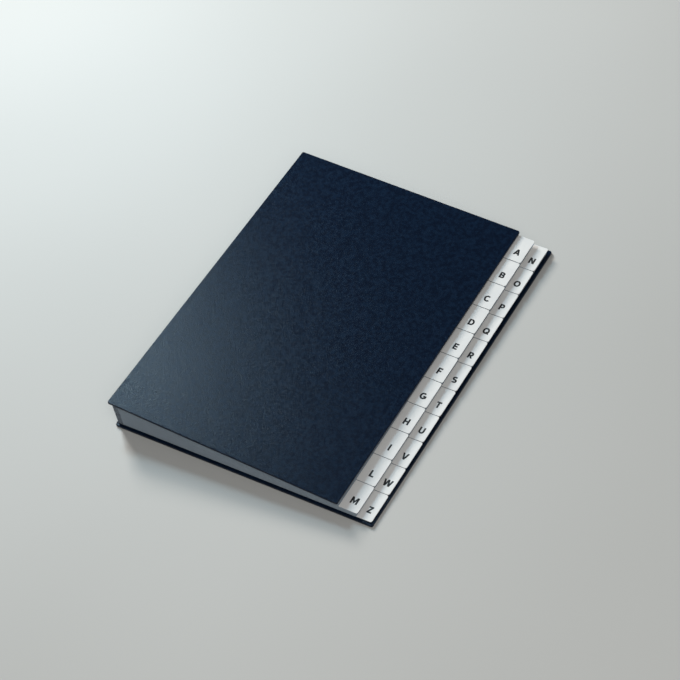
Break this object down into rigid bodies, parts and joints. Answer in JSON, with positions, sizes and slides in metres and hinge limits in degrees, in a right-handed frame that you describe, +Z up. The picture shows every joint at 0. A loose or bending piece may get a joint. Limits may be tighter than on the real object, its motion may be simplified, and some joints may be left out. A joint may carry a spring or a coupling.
{
  "type": "alphabetical desk sorter",
  "caption": "Book-shaped desk sorter with two hard leatherette covers, a pleated cloth spine and card leaves with stepped index tabs in two columns beside the shorter front cover.",
  "frame": {"origin": "centre of the back cover's underside, which rests on the desk", "axes": "+Z up from the desk through the closed stack; +Y towards the head of the leaves; +X from the pleated spine towards the index tabs"},
  "size_m": [0.2676, 0.34, 0.0347],
  "materials": {
    "leatherette": "satin",
    "spine_cloth": "matte",
    "endpaper": "matte",
    "leaf_card": "matte",
    "index_label": "satin"
  },
  "bodies": {
    "back_board": {"back_cover": "leatherette", "back_endpaper": "endpaper", "back_hinge_cloth": "spine_cloth"},
    "leaf_block": {"spine_gusset": "spine_cloth", "leaf_a": "leaf_card", "leaf_b": "leaf_card", "leaf_c": "leaf_card", "leaf_d": "leaf_card", "leaf_e": "leaf_card", "leaf_f": "leaf_card", "leaf_g": "leaf_card", "leaf_h": "leaf_card", "leaf_i": "leaf_card", "leaf_l": "leaf_card", "leaf_m": "leaf_card", "leaf_n": "leaf_card", "leaf_o": "leaf_card", "leaf_p": "leaf_card", "leaf_q": "leaf_card", "leaf_r": "leaf_card", "leaf_s": "leaf_card", "leaf_t": "leaf_card", "leaf_u": "leaf_card", "leaf_v": "leaf_card", "leaf_w": "leaf_card", "leaf_z": "leaf_card", "index_label_a": "index_label", "index_label_b": "index_label", "index_label_c": "index_label", "index_label_d": "index_label", "index_label_e": "index_label", "index_label_f": "index_label", "index_label_g": "index_label", "index_label_h": "index_label", "index_label_i": "index_label", "index_label_l": "index_label", "index_label_m": "index_label", "index_label_n": "index_label", "index_label_o": "index_label", "index_label_p": "index_label", "index_label_q": "index_label", "index_label_r": "index_label", "index_label_s": "index_label", "index_label_t": "index_label", "index_label_u": "index_label", "index_label_v": "index_label", "index_label_w": "index_label", "index_label_z": "index_label"},
    "front_board": {"front_cover": "leatherette", "front_endpaper": "endpaper", "front_hinge_cloth": "spine_cloth"}
  },
  "joints": [
    {"name": "back_cover_hinge", "type": "hinge", "parent": "back_board", "child": "leaf_block", "pos_m": [-0.13375, 0, 0.0025], "axis": [0, -1, 0], "range_deg": [0, 180]},
    {"name": "front_cover_hinge", "type": "hinge", "parent": "leaf_block", "child": "front_board", "pos_m": [-0.13375, 0, 0.03228], "axis": [0, -1, 0], "range_deg": [0, 190]}
  ]
}
